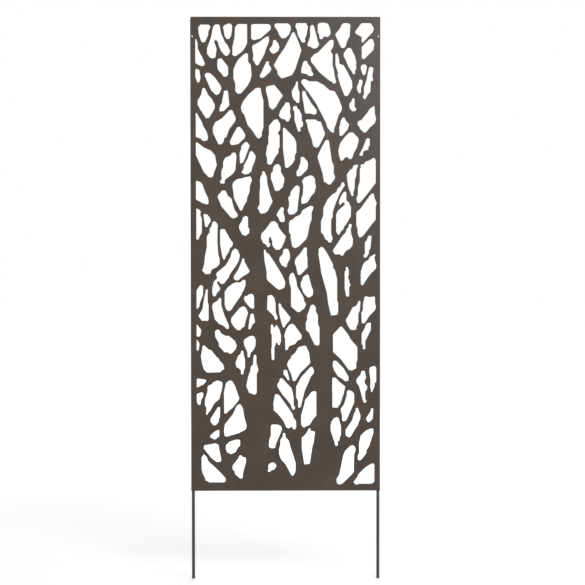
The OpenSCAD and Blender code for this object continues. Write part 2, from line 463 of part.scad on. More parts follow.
base_right = [
  [[373, 198], [378, 200], [380, 191], [394, 189], [389, 152], [385, 140], [377, 86],
   [359, 83], [351, 135], [351, 170], [360, 177], [369, 189]],
  [[522, 264], [529, 265], [538, 240], [537, 228], [531, 216], [530, 209], [520, 195],
   [506, 171], [498, 170], [490, 177], [490, 194], [511, 224], [516, 243], [522, 255]],
  [[454, 232], [462, 235], [468, 233], [476, 205], [476, 178], [471, 167], [472, 159],
   [465, 158], [467, 146], [462, 142], [457, 144], [454, 158], [443, 190], [442, 205],
   [445, 220]],
  [[505, 143], [513, 146], [519, 142], [523, 130], [518, 116], [517, 60], [508, 49],
   [481, 23], [469, 19], [462, 26], [461, 37], [470, 52], [483, 114], [490, 129]],
  [[555, 192], [572, 199], [579, 197], [579, 184], [565, 141], [557, 129], [556, 118],
   [541, 99], [536, 96], [530, 97], [528, 109], [533, 121], [533, 152], [538, 176]],
  [[566, 83], [578, 88], [582, 84], [582, 28], [573, 22], [533, 22], [526, 18], [519, 22],
   [515, 28], [526, 42], [532, 54], [550, 72]],
  [[571, 263], [579, 263], [577, 229], [566, 218], [560, 218], [555, 228], [556, 232],
   [569, 252]],
];

openings = concat(top_left, top_right, upper_left, upper_right, middle_left, middle_right,
                  lower_left, lower_right, base_left, base_right);

// ---- Softening of drawn outlines ----------------------------------------------------------

// A drawn point on the panel: x from the middle, y from the lower edge
function on_panel(p) =
  [(p[0] / draw_w - 0.5) * panel_w, p[1] / draw_h * panel_h];

function unit(v) = v / norm(v);

function cross_of(a, b) = a[0] * b[1] - a[1] * b[0];

function turn_of(a, b) = atan2(cross_of(a, b), a * b);

// 1 for an outline that runs anticlockwise, -1 for a clockwise one
function way_of(pts) =
  let (n = len(pts),
       ones = [for (p = pts) 1],
       crosses = [for (i = [0 : n - 1]) cross_of(pts[i], pts[(i + 1) % n])])
  ones * crosses > 0 ? 1 : -1;

// A drawn corner moved into its opening, as far as brings both sides in by cut_inset
function inset_corner(before, corner, after, way) =
  let (u = unit(corner - before),
       v = unit(after - corner),
       both = u + v)
  corner + way * cut_inset * [-both[1], both[0]] / max(1 + u * v, least_mitre);

// The points that replace one corner: a short run of an arc tangent to both of its sides
function soft_corner(before, corner, after, r) =
  let (u = unit(corner - before),
       v = unit(after - corner),
       turn = turn_of(u, v),
       half_tan = abs(tan(turn / 2)),
       room = side_share * min(norm(corner - before), norm(after - corner)),
       reach = min(r * half_tan, room),
       steps = ceil(abs(turn) / turn_step),
       arc_r = reach / max(half_tan, 0.001),
       start = corner - u * reach,
       side = turn > 0 ? 1 : -1,
       centre = start + side * arc_r * [-u[1], u[0]],
       from = start - centre)
  abs(turn) < least_turn ? [corner]
  : [for (k = [0 : steps])
      let (a = turn * k / steps)
      centre + [from[0] * cos(a) - from[1] * sin(a), from[0] * sin(a) + from[1] * cos(a)]];

// The line of one cut: the drawn outline, inset and with every corner softened
function softened(outline) =
  let (n = len(outline),
       drawn = [for (p = outline) on_panel(p)],
       way = way_of(drawn),
       pts = [for (i = [0 : n - 1])
               inset_corner(drawn[(i + n - 1) % n], drawn[i], drawn[(i + 1) % n], way)])
  [for (i = [0 : n - 1])
    each soft_corner(pts[(i + n - 1) % n], pts[i], pts[(i + 1) % n],
                     len(outline[i]) > 2 ? outline[i][2] : cut_r)];

// ---- Panel --------------------------------------------------------------------------------

// The flat of the face, with the openings and the four screw holes
module face_outline() {
  difference() {
    union() {
      translate([-panel_w / 2 + bend_r, 0])
        square([panel_w - 2 * bend_r, panel_h - corner_r]);
      translate([-panel_w / 2 + corner_r, 0])
        square([panel_w - 2 * corner_r, panel_h - bend_r]);
      for (side = [-1, 1])
        translate([side * (panel_w / 2 - corner_r), panel_h - corner_r])
          circle(r = corner_r - bend_r);
    }
    translate([-notch_x, -over])
      square([2 * notch_x, bend_r + over]);
    for (outline = openings)
      polygon(softened(outline));
    for (x = [-stake_x, stake_x], z = [z_lower, z_upper])
      translate([x, z])
        circle(d = hole_d);
  }
}

// A fold of the sheet along Z, from the face round to the right-hand return
module fold(length) {
  translate([0, y_front + bend_r, 0])
    rotate([0, 0, -90])
      rotate_extrude(angle = 90)
        translate([bend_in, 0])
          square([sheet_t, length]);
}

// The fold that runs round an upper corner, and the return behind it
module upper_corner() {
  translate([panel_w / 2 - corner_r, 0, panel_h - corner_r])
    rotate([90, 0, 0]) {
      translate([0, 0, -y_front - bend_r])
        rotate_extrude(angle = 90)
          translate([corner_r - bend_r, 0])
            intersection() {
              difference() {
                circle(r = bend_r);
                circle(r = bend_in);
              }
              square(bend_r + over);
            }
      translate([0, 0, -y_rear])
        rotate_extrude(angle = 90)
          translate([corner_r - sheet_t, 0])
            square([sheet_t, return_depth - bend_r]);
    }
}

// The return of one side with its fold
module side_return() {
  translate([panel_w / 2 - bend_r, 0, 0])
    fold(panel_h - corner_r);
  translate([panel_w / 2 - sheet_t, y_front + bend_r, 0])
    cube([sheet_t, return_depth - bend_r, panel_h - corner_r]);
}

// The return along an edge of the given length, folded back at the top of the face
module level_return(length) {
  rotate([0, -90, 0])
    translate([-bend_r, 0, -length / 2]) {
      fold(length);
      translate([bend_r - sheet_t, y_front + bend_r, 0])
        cube([sheet_t, return_depth - bend_r, length]);
    }
}

module screen_panel() {
  color("#4e453d") {
    translate([0, y_sheet, 0])
      rotate([90, 0, 0])
        linear_extrude(sheet_t)
          face_outline();
    for (side = [0, 1])
      mirror([side, 0, 0]) {
        side_return();
        upper_corner();
      }
    translate([0, 0, panel_h])
      level_return(panel_w - 2 * corner_r);
    mirror([0, 0, 1])
      level_return(2 * notch_x);
  }
}

// ---- Stakes and their fasteners -----------------------------------------------------------

module stake(side) {
  top = z_lower + stake_above_hole;
  foot = -stake_below;
  color("#4e453d")
    translate([side * stake_x, 0, 0])
      difference() {
        rotate_extrude()
          polygon([[0, foot], [stake_r - stake_chamfer, foot], [stake_r, foot + stake_chamfer],
                   [stake_r, top - stake_chamfer], [stake_r - stake_chamfer, top], [0, top]]);
        translate([0, stake_r + over, z_lower])
          rotate([90, 0, 0])
            cylinder(d = bore_d, h = stake_d + 2 * over);
        translate([-stake_r - over, y_flat, z_lower - flat_len / 2])
          cube([stake_d + 2 * over, stake_r, flat_len]);
      }
}

// Places a fastener on the axis of a lower hole, its own Z pointing to the rear
module on_screw_axis(side, y) {
  translate([side * stake_x, y, z_lower])
    rotate([-90, 0, 0])
      children();
}

// Profile of the domed head: the top of a ball that meets the rim of the head
module head_profile() {
  rim = head_d / 2;
  rim_h = 0.3;
  rise = head_h - rim_h;
  flat_r = rim / 2;
  ball_r = (pow(rim - flat_r, 2) + pow(rise, 2)) / (2 * rise);
  sweep = asin((rim - flat_r) / ball_r);
  polygon(concat([[0, 0], [rim, 0], [rim, -rim_h]],
                 [for (k = [dome_steps - 1 : -1 : 0])
                   let (a = sweep * k / dome_steps)
                   [flat_r + ball_r * sin(a), -head_h + ball_r * (1 - cos(a))]],
                 [[0, -head_h]]));
}

module stake_screw(side) {
  color("#3a332d")
    on_screw_axis(side, y_front - seat_gap)
      difference() {
        union() {
          rotate_extrude()
            head_profile();
          cylinder(d = screw_d, h = screw_len);
        }
        translate([0, 0, -head_h - over])
          cylinder(d = socket_af / cos(30), h = socket_depth + over, $fn = 6);
      }
}

module stake_washer(side) {
  color("#8c8a86")
    on_screw_axis(side, y_flat)
      difference() {
        cylinder(d = washer_d, h = washer_t);
        translate([0, 0, -over])
          cylinder(d = bore_d, h = washer_t + 2 * over);
      }
}

module stake_nut(side) {
  corner = nut_af / 2 / cos(30);
  drop = (corner - nut_af / 2) * tan(nut_chamfer);
  color("#8c8a86")
    on_screw_axis(side, y_flat + washer_t)
      difference() {
        intersection() {
          cylinder(r = corner, h = nut_h, $fn = 6);
          rotate_extrude()
            polygon([[0, 0], [nut_af / 2, 0], [corner, drop], [corner, nut_h - drop],
                     [nut_af / 2, nut_h], [0, nut_h]]);
        }
        translate([0, 0, -over])
          cylinder(d = bore_d, h = nut_h + 2 * over);
      }
}

screen_panel();
stake(-1);  // stake_left
stake(1);  // stake_right
stake_screw(-1);  // stake_screw_left
stake_screw(1);  // stake_screw_right
stake_washer(-1);  // stake_washer_left
stake_washer(1);  // stake_washer_right
stake_nut(-1);  // stake_nut_left
stake_nut(1);  // stake_nut_right
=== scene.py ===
"""Visual model of a garden screen.

The screen is one sheet of steel with bare branches laser cut through its face and all four
edges folded back. Two round steel stakes stand in its lower corners, each held by a button-head
screw, a washer and a nut. Metres throughout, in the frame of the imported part: Z up, the front
face looks towards -Y, the panel's lower edge lies at Z = 0.
"""

import json
import logging
import math
from collections.abc import Callable, Iterator
from contextlib import contextmanager
from dataclasses import dataclass, field
from enum import Enum

import bmesh
import bpy
from mathutils import Matrix, Vector

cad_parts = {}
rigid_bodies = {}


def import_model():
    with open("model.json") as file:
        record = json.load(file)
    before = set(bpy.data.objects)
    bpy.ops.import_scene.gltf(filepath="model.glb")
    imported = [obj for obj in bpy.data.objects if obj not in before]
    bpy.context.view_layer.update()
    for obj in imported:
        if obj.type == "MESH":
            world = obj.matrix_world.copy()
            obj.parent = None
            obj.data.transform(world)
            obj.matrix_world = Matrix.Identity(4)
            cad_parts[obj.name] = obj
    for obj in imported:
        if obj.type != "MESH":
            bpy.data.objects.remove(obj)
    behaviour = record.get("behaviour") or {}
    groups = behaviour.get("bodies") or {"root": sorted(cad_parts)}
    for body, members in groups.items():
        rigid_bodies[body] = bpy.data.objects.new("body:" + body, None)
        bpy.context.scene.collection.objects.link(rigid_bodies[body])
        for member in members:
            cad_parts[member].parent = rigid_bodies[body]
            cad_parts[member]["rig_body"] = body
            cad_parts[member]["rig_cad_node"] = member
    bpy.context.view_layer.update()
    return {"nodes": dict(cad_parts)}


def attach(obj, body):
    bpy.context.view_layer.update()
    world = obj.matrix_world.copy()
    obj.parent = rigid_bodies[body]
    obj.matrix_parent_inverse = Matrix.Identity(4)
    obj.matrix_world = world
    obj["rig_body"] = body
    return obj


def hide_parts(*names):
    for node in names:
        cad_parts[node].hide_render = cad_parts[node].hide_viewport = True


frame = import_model()

LOG = logging.getLogger("screen")
BODY = "root"
MM = 0.001
WHITE = "#ffffff"
HEXAGON = 6
# Marks of a CAD node, which a copy of it must not carry.
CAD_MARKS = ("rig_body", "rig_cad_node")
# Radius of every bore that a screw runs through.
BORE_RADIUS = 2.15 * MM

# Heights that differ by less than this count as the same.
CLOSE = MM / 100
# How far outside a bore's wall its rims are still looked for.
RIM_REACH = MM / 10
# Distance below which two points that a cut left are one.
HAIR = 0.004 * MM
# Least share of Z in the normal of a face that looks along Z.
FACING = 0.9
# Greatest share of Z in the direction of an edge that lies level.
LEVEL = 0.1
# Steps across each rounded edge.
ROUNDING_STEPS = 2


class Side(Enum):
    """The two sides of the screen, seen from the front, as the nodes spell them."""

    LEFT = "left"
    RIGHT = "right"


class Pick(Enum):
    """What an edit-mode selection is made of."""

    EDGES = "EDGE"
    FACES = "FACE"


class Keep(Enum):
    """What a cut keeps of a piece."""

    OUTSIDE = "DIFFERENCE"
    SHARED = "INTERSECT"


class Reckon(Enum):
    """What a Math node makes of its terms."""

    PRODUCT = "MULTIPLY"
    PRODUCT_PLUS = "MULTIPLY_ADD"
    LARGEST = "MAXIMUM"


# ---- Small tools ----------------------------------------------------------------------------


def linear(code: str) -> tuple[float, float, float, float]:
    """Turns an sRGB hex colour into the linear values that shaders take.

    Args:
        code: The colour as "#rrggbb".

    Returns:
        Red, green and blue in linear light, and an alpha of 1.
    """
    channels = [int(code[i : i + 2], 16) / 255 for i in (1, 3, 5)]
    curve = [c / 12.92 if c <= 0.04045 else ((c + 0.055) / 1.055) ** 2.4 for c in channels]
    return (*curve, 1.0)


def across_corners(flats: float) -> float:
    """Works out a hexagon's radius to its corners.

    Args:
        flats: Its width across the flats.

    Returns:
        The radius.
    """
    return flats / 2 / math.cos(math.pi / HEXAGON)


def only(*pieces: bpy.types.Object) -> None:
    """Selects these objects and nothing else.

    Args:
        pieces: The objects. The first one becomes the active one.
    """
    bpy.ops.object.select_all(action="DESELECT")
    for piece in pieces:
        piece.select_set(True)
    bpy.context.view_layer.objects.active = pieces[0]


@contextmanager
def editing(piece: bpy.types.Object, kind: Pick) -> Iterator[None]:
    """Opens a piece in edit mode with nothing selected, and closes it again.

    Args:
        piece: The mesh object to edit.
        kind: Whether edges or faces are selected.

    Yields:
        Nothing. The body of the with statement runs in edit mode.
    """
    only(piece)
    bpy.ops.object.mode_set(mode="EDIT")
    bpy.ops.mesh.select_mode(type=kind.value)
    bpy.ops.mesh.select_all(action="DESELECT")
    yield
    bpy.ops.object.mode_set(mode="OBJECT")


def pick(kind: Pick, test: Callable[[Vector, Vector], bool]) -> None:
    """Selects the edges or faces of the edited piece that pass a test.

    Args:
        kind: Whether edges or faces are tested.
        test: Takes an element's middle and its direction: a face's normal, or the unit vector
            along an edge.
    """
    mesh = bpy.context.edit_object.data
    shape = bmesh.from_edit_mesh(mesh)
    bpy.ops.mesh.select_all(action="DESELECT")
    if kind is Pick.FACES:
        for face in shape.faces:
            if test(face.calc_center_median(), face.normal):
                face.select_set(True)
    else:
        for edge in shape.edges:
            start, end = (vert.co for vert in edge.verts)
            if test((start + end) / 2, (end - start).normalized()):
                edge.select_set(True)
    bmesh.update_edit_mesh(mesh)


def pick_rims(radius: float) -> None:
    """Selects the level edges round a bore along Z in the edited piece.

    Args:
        radius: The bore's radius.
    """
    reach = radius + RIM_REACH
    pick(Pick.EDGES, lambda at, along: math.hypot(at.x, at.y) < reach and abs(along.z) < LEVEL)


def draw_out(rise: float) -> None:
    """Draws the selected faces of the edited piece out along Z.

    Args:
        rise: How far, and downwards where it is negative.
    """
    bpy.ops.mesh.extrude_region_move(TRANSFORM_OT_translate={"value": (0, 0, rise)})


def apply_modifier(piece: bpy.types.Object, kind: str, **settings: object) -> None:
    """Adds a modifier to a piece and applies it.

    Args:
        piece: The mesh object.
        kind: The modifier's type, such as "BEVEL".
        settings: The modifier's settings by name.
    """
    only(piece)
    modifier = piece.modifiers.new(kind.title(), kind)
    for name, value in settings.items():
        setattr(modifier, name, value)
    bpy.ops.object.modifier_apply(modifier=modifier.name)


def soften(piece: bpy.types.Object, width: float, degrees: float, **settings: object) -> None:
    """Rounds the edges of a piece that turn more than an angle.

    Args:
        piece: The mesh object.
        width: Width of the rounding.
        degrees: The angle from which an edge is rounded.
        settings: Further settings of the bevel by name.
    """
    apply_modifier(
        piece,
        "BEVEL",
        width=width,
        segments=ROUNDING_STEPS,
        limit_method="ANGLE",
        angle_limit=math.radians(degrees),
        **settings,
    )


def cut(piece: bpy.types.Object, tool: bpy.types.Object, keep: Keep = Keep.OUTSIDE) -> None:
    """Cuts a piece with another one, which is used up.

    Args:
        piece: The mesh object that is cut.
        tool: The cutting object. It is deleted afterwards.
        keep: Whether the piece keeps what lies outside the tool, or what both share.
    """
    apply_modifier(piece, "BOOLEAN", object=tool, operation=keep.value, solver="EXACT")
    bpy.data.objects.remove(tool)


def rod(radius: float, low: float, high: float, sides: int) -> bpy.types.Object:
    """Adds a closed cylinder along Z.

    Args:
        radius: Its radius, to the corners where it has few sides.
        low: Height of its lower end.
        high: Height of its upper end.
        sides: Number of sides.

    Returns:
        The new object, alone in the selection.
    """
    bpy.ops.object.select_all(action="DESELECT")
    bpy.ops.mesh.primitive_cylinder_add(
        vertices=sides, radius=radius, depth=high - low, location=(0, 0, (low + high) / 2)
    )
    piece = bpy.context.active_object
    bpy.ops.object.transform_apply(location=True, rotation=True, scale=True)
    return piece


def block(low: tuple[float, float, float], high: tuple[float, float, float]) -> bpy.types.Object:
    """Adds a box between two corners.

    Args:
        low: Its lowest corner.
        high: Its highest corner.

    Returns:
        The new object, alone in the selection.
    """
    bpy.ops.object.select_all(action="DESELECT")
    middle = [(a + b) / 2 for a, b in zip(low, high)]
    bpy.ops.mesh.primitive_cube_add(size=1, location=middle)
    piece = bpy.context.active_object
    piece.scale = [b - a for a, b in zip(low, high)]
    bpy.ops.object.transform_apply(location=True, rotation=True, scale=True)
    return piece


def place(piece: bpy.types.Object, spot: tuple[float, float, float]) -> None:
    """Lays a piece built along Z on a screw's axis, its Z pointing to the rear.

    Args:
        piece: The object, built round the origin.
        spot: Where its origin goes.
    """
    only(piece)
    piece.rotation_euler = (-math.pi / 2, 0, 0)
    piece.location = spot
    bpy.ops.object.transform_apply(location=True, rotation=True, scale=True)


def clean(piece: bpy.types.Object) -> None:
    """Merges points that a cut left closer than a hair and drops faces of no area.

    Args:
        piece: The mesh object, a closed shell.
    """
    with editing(piece, Pick.EDGES):
        bpy.ops.mesh.select_all(action="SELECT")
        bpy.ops.mesh.remove_doubles(threshold=HAIR)
        bpy.ops.mesh.select_all(action="SELECT")
        bpy.ops.mesh.dissolve_degenerate(threshold=HAIR)
        bpy.ops.mesh.select_all(action="SELECT")
        bpy.ops.mesh.normals_make_consistent(inside=False)


def smooth(piece: bpy.types.Object, degrees: float) -> None:
    """Shades a piece smooth, apart from edges sharper than an angle.

    Args:
        piece: The mesh object.
        degrees: The angle from which an edge stays sharp.
    """
    only(piece)
    bpy.ops.object.shade_smooth_by_angle(angle=math.radians(degrees))


def twin(piece: bpy.types.Object, name: str, shift_x: float) -> bpy.types.Object:
    """Copies a piece with a mesh of its own, moved sideways.

    Args:
        piece: The object to copy.
        name: The copy's name.
        shift_x: How far the copy lies to the right.

    Returns:
        The copy.
    """
    copy = piece.copy()
    copy.data = piece.data.copy()
    copy.name = copy.data.name = name
    copy.data.transform(Matrix.Translation((shift_x, 0, 0)))
    bpy.context.scene.collection.objects.link(copy)
    return copy


# ---- Nodes ----------------------------------------------------------------------------------


def blank_material(name: str) -> bpy.types.Material:
    """Adds a material with an empty node tree.

    Args:
        name: The material's name.

    Returns:
        The new material.
    """
    material = bpy.data.materials.new(name)
    material.use_nodes = True
    material.node_tree.nodes.clear()
    return material


def add_node(
    tree: bpy.types.NodeTree, kind: str, inputs: dict[str | int, object] | None = None
) -> bpy.types.Node:
    """Adds a node to a material or world, with its settings and links.

    Args:
        tree: The node tree.
        kind: The node's type, such as "ShaderNodeTexNoise".
        inputs: Values by the name or number of an input socket, or by the name of one of the
            node's own properties. A value that is an output socket is linked.

    Returns:
        The new node.
    """
    node = tree.nodes.new(kind)
    for name, value in (inputs or {}).items():
        if isinstance(value, bpy.types.NodeSocket):
            tree.links.new(value, node.inputs[name])
        elif isinstance(name, int) or name in node.inputs:
            node.inputs[name].default_value = value
        else:
            setattr(node, name, value)
    return node


def coordinates(tree: bpy.types.NodeTree) -> bpy.types.NodeSocket:
    """Gives the place of a point on its own object.

    Args:
        tree: The node tree.

    Returns:
        The place, in metres.
    """
    return add_node(tree, "ShaderNodeTexCoord").outputs["Object"]


def noise(
    tree: bpy.types.NodeTree,
    spot: bpy.types.NodeSocket,
    blob_mm: float,
    detail: float,
    roughness: float = 0.5,
) -> bpy.types.NodeSocket:
    """Adds a noise texture.

    Args:
        tree: The node tree.
        spot: The place of the point.
        blob_mm: About how large its blobs are. The texture shows one blob to a unit of its
            scale, and the unit is a metre.
        detail: The number of finer layers in it.
        roughness: How strongly the finer layers show.

    Returns:
        The texture's value, from 0 to 1.
    """
    settings = {
        "Scale": 1 / (blob_mm * MM),
        "Detail": detail,
        "Roughness": roughness,
        "Vector": spot,
    }
    return add_node(tree, "ShaderNodeTexNoise", settings).outputs["Fac"]


def reckon(
    tree: bpy.types.NodeTree, how: Reckon, *terms: bpy.types.NodeSocket | float
) -> bpy.types.NodeSocket:
    """Adds a Math node.

    Args:
        tree: The node tree.
        how: What it makes of its terms.
        terms: Its two or three terms, sockets or numbers.

    Returns:
        The result.
    """
    settings = {"operation": how.value, **dict(enumerate(terms))}
    return add_node(tree, "ShaderNodeMath", settings).outputs[0]


def stretch(
    tree: bpy.types.NodeTree,
    value: bpy.types.NodeSocket,
    source: tuple[float, float],
    target: tuple[float, float],
) -> bpy.types.NodeSocket:
    """Maps one span of values to another and holds what lies outside at its ends.

    Args:
        tree: The node tree.
        value: The value to map.
        source: The span that it comes from.
        target: The span that it goes to.

    Returns:
        The mapped value.
    """
    settings = {
        "From Min": source[0],
        "From Max": source[1],
        "To Min": target[0],
        "To Max": target[1],
        "Value": value,
    }
    return add_node(tree, "ShaderNodeMapRange", settings).outputs["Result"]


def shades(
    tree: bpy.types.NodeTree, value: bpy.types.NodeSocket, stops: dict[float, str]
) -> bpy.types.NodeSocket:
    """Turns a value into a colour between stops.

    Args:
        tree: The node tree.
        value: The value, from 0 to 1.
        stops: sRGB hex colours by place, two or more, in rising order.

    Returns:
        The colour.
    """
    node = add_node(tree, "ShaderNodeValToRGB", {"Fac": value})
    elements = node.color_ramp.elements
    while len(elements) < len(stops):
        elements.new(0.5)
    for element, (spot, code) in zip(elements, stops.items()):
        element.position = spot
        element.color = linear(code)
    return node.outputs["Color"]


def relief(
    tree: bpy.types.NodeTree,
    height: bpy.types.NodeSocket,
    depth_mm: float,
    below: bpy.types.NodeSocket | None = None,
) -> bpy.types.NodeSocket:
    """Adds a fine relief to the surface.

    Args:
        tree: The node tree.
        height: The relief, from 0 to 1.
        depth_mm: Its depth.
        below: The normal of a coarser relief that it lies on.

    Returns:
        The normal.
    """
    settings = {"Strength": 1.0, "Distance": depth_mm * MM, "Height": height}
    if below is not None:
        settings["Normal"] = below
    return add_node(tree, "ShaderNodeBump", settings).outputs["Normal"]


def close_surface(
    tree: bpy.types.NodeTree,
    colour: bpy.types.NodeSocket,
    roughness: bpy.types.NodeSocket,
    normal: bpy.types.NodeSocket,
    **settings: float,
) -> None:
    """Ends a material's tree with its shader and its output.

    Args:
        tree: The node tree.
        colour: The base colour.
        roughness: The roughness.
        normal: The normal.
        settings: Further inputs of the Principled shader by name.
    """
    inputs = {"Base Color": colour, "Roughness": roughness, "Normal": normal, **settings}
    shader = add_node(tree, "ShaderNodeBsdfPrincipled", inputs)
    add_node(tree, "ShaderNodeOutputMaterial", {"Surface": shader.outputs["BSDF"]})


def looked_at(tree: bpy.types.NodeTree) -> bpy.types.NodeSocket:
    """Tells a ray that looks from a ray that lights.

    Args:
        tree: The node tree of the floor or of the world.

    Returns:
        A value of 1 to the camera, in gloss and through glass, and of 0 otherwise.
    """
    path = add_node(tree, "ShaderNodeLightPath")
    result = path.outputs["Is Camera Ray"]
    for kind in ("Is Glossy Ray", "Is Transmission Ray"):
        result = reckon(tree, Reckon.LARGEST, result, path.outputs[kind])
    return result


# ---- Finishes -------------------------------------------------------------------------------


@dataclass(frozen=True)
class PowderCoat:
    """Polyester powder coat, sprayed and baked on steel.

    The film flows out to a faint orange peel and keeps a fine grit. It gives a half-matt
    surface with soft, broad highlights and almost no reflections. Its colour drifts with the
    thickness of the film, and the grit freckles it. Real grit is about 0.1 mm; it is drawn as
    coarse as a close view can show.
    """

    name: str
    thin: str
    body: str
    heavy: str
    roughness: tuple[float, float] = (0.36, 0.44)
    cloud_mm: float = 90.0
    cloud_share: float = 0.6
    peel_mm: float = 2.6
    peel_height_mm: float = 0.08
    grit_mm: float = 0.7
    grit_share: float = 0.5
    grit_height_mm: float = 0.035
    drift_stops: tuple[float, float, float] = (0.38, 0.55, 0.74)
    drift_span: tuple[float, float] = (0.35, 0.75)

    def material(self) -> bpy.types.Material:
        """Builds the material.

        Returns:
            The new material.
        """
        material = blank_material(self.name)
        tree = material.node_tree
        spot = coordinates(tree)
        cloud = noise(tree, spot, self.cloud_mm, detail=3.0, roughness=0.55)
        peel = noise(tree, spot, self.peel_mm, detail=1.0, roughness=0.4)
        grit = noise(tree, spot, self.grit_mm, detail=2.0, roughness=0.6)
        film = reckon(tree, Reckon.PRODUCT, cloud, self.cloud_share)
        drift = reckon(tree, Reckon.PRODUCT_PLUS, grit, self.grit_share, film)
        colours = dict(zip(self.drift_stops, (self.heavy, self.body, self.thin)))
        waves = relief(tree, peel, self.peel_height_mm)
        close_surface(
            tree,
            shades(tree, drift, colours),
            stretch(tree, drift, self.drift_span, self.roughness),
            relief(tree, grit, self.grit_height_mm, waves),
        )
        return material


@dataclass(frozen=True)
class ZincPlate:
    """Bright zinc plating on turned and stamped steel.

    A thin galvanic layer over tool marks. It gives a satin metal with fine uneven marks and
    slightly bluish and yellowish patches.
    """

    name: str
    cool: str
    warm: str
    roughness: tuple[float, float] = (0.24, 0.42)
    patch_mm: float = 2.5
    mark_mm: float = 0.35
    mark_height_mm: float = 0.01
    span: tuple[float, float] = (0.35, 0.65)

    def material(self) -> bpy.types.Material:
        """Builds the material.

        Returns:
            The new material.
        """
        material = blank_material(self.name)
        tree = material.node_tree
        spot = coordinates(tree)
        patch = noise(tree, spot, self.patch_mm, detail=2.0)
        mark = noise(tree, spot, self.mark_mm, detail=1.0)
        close_surface(
            tree,
            shades(tree, patch, dict(zip(self.span, (self.cool, self.warm)))),
            stretch(tree, mark, self.span, self.roughness),
            relief(tree, mark, self.mark_height_mm),
            Metallic=1.0,
        )
        return material


PANEL_COAT = PowderCoat("powder_coat_panel", thin="#4c3e32", body="#403327", heavy="#372b21")
STAKE_COAT = PowderCoat(
    "powder_coat_stake",
    thin="#514a44",
    body="#46403b",
    heavy="#3d3733",
    roughness=(0.55, 0.63),
    cloud_mm=40.0,
)
SCREW_COAT = PowderCoat(
    "powder_coat_screw",
    thin="#46392e",
    body="#3a2e24",
    heavy="#31271e",
    cloud_mm=6.0,
    peel_mm=0.9,
    peel_height_mm=0.012,
    grit_mm=0.35,
    grit_height_mm=0.006,
)
WASHER_ZINC = ZincPlate("zinc_plate_washer", cool="#a6abb0", warm="#b9b5a8")
NUT_ZINC = ZincPlate("zinc_plate_nut", cool="#9aa0a6", warm="#afaa9b")


# ---- Sub-assemblies -------------------------------------------------------------------------


@dataclass
class Dressed:
    """A finished piece on its way into the model."""

    piece: bpy.types.Object
    node: str
    slot: str
    finish: bpy.types.Material

    def hand_over(self) -> None:
        """Gives the piece its finish and body, hides the CAD node that it replaces, and reports
        it.
        """
        self.piece.data.materials.clear()
        self.piece.data.materials.append(self.finish)
        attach(self.piece, BODY)
        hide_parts(self.node)
        LOG.info("%s: %d faces", self.piece.name, len(self.piece.data.polygons))


@dataclass
class Panel:
    """The folded sheet with the branches cut through its face."""

    node: str = "screen_panel"
    edge_round: float = 0.3 * MM
    edge_degrees: float = 50.0
    smooth_degrees: float = 40.0
    weld: float = 0.001 * MM

    def build(self) -> bpy.types.Object:
        """Rounds the laser-cut edges of the sheet, as the baked coat does.

        Returns:
            The finished panel.
        """
        source = frame["nodes"][self.node]
        panel = source.copy()
        panel.data = source.data.copy()
        for mark in CAD_MARKS:
            if mark in panel:
                del panel[mark]
        panel.parent = None
        panel.name = panel.data.name = "cut_panel"
        bpy.context.scene.collection.objects.link(panel)
        with editing(panel, Pick.EDGES):
            bpy.ops.mesh.select_all(action="SELECT")
            bpy.ops.mesh.customdata_custom_splitnormals_clear()
            bpy.ops.mesh.remove_doubles(threshold=self.weld)
        soften(
            panel,
            self.edge_round,
            self.edge_degrees,
            use_clamp_overlap=True,
            miter_outer="MITER_ARC",
        )
        smooth(panel, self.smooth_degrees)
        apply_modifier(panel, "WEIGHTED_NORMAL", mode="FACE_AREA", weight=100, keep_sharp=True)
        return panel

    def dress(self) -> None:
        """Builds the panel and hands it over."""
        Dressed(self.build(), self.node, "panel_coat", PANEL_COAT.material()).hand_over()


@dataclass
class Stake:
    """A round steel rod, cross-drilled near its upper end, with a flat for the washer."""

    spacing: float = 587 * MM
    radius: float = 5.0 * MM
    foot: float = -280 * MM
    top: float = 75 * MM
    end_round: float = 0.8 * MM
    end_steps: int = 4
    bore_radius: float = BORE_RADIUS
    bore_height: float = 60 * MM
    flat_depth: float = 0.5 * MM
    flat_length: float = 11 * MM
    edge_round: float = 0.15 * MM
    edge_degrees: float = 35.0
    smooth_degrees: float = 30.0
    sides: int = 64

    def build(self) -> bpy.types.Object:
        """Models the left stake at its place.

        Returns:
            The finished stake.
        """
        ends = (self.foot, self.top)
        stake = rod(self.radius, self.foot, self.top, self.sides)
        with editing(stake, Pick.EDGES):
            pick(Pick.EDGES, lambda at, along: any(abs(at.z - end) < CLOSE for end in ends))
            bpy.ops.mesh.bevel(
                offset=self.end_round,
                offset_type="OFFSET",
                segments=self.end_steps,
                affect="EDGES",
            )
        reach = 2 * self.radius
        bore = rod(self.bore_radius, -reach, reach, self.sides // 2)
        place(bore, (0, 0, self.bore_height))
        cut(stake, bore)
        half = self.flat_length / 2
        flat = block(
            (-reach, self.radius - self.flat_depth, self.bore_height - half),
            (reach, reach, self.bore_height + half),
        )
        cut(stake, flat)
        clean(stake)
        stake.data.transform(Matrix.Translation((-self.spacing / 2, 0, 0)))
        soften(stake, self.edge_round, self.edge_degrees)
        clean(stake)
        smooth(stake, self.smooth_degrees)
        stake.name = stake.data.name = "ground_stake_left"
        return stake

    def dress(self) -> None:
        """Builds both stakes and hands them over."""
        left = self.build()
        right = twin(left, "ground_stake_right", self.spacing)
        finish = STAKE_COAT.material()
        for piece, side in ((left, Side.LEFT), (right, Side.RIGHT)):
            Dressed(piece, f"stake_{side.value}", "stake_coat", finish).hand_over()


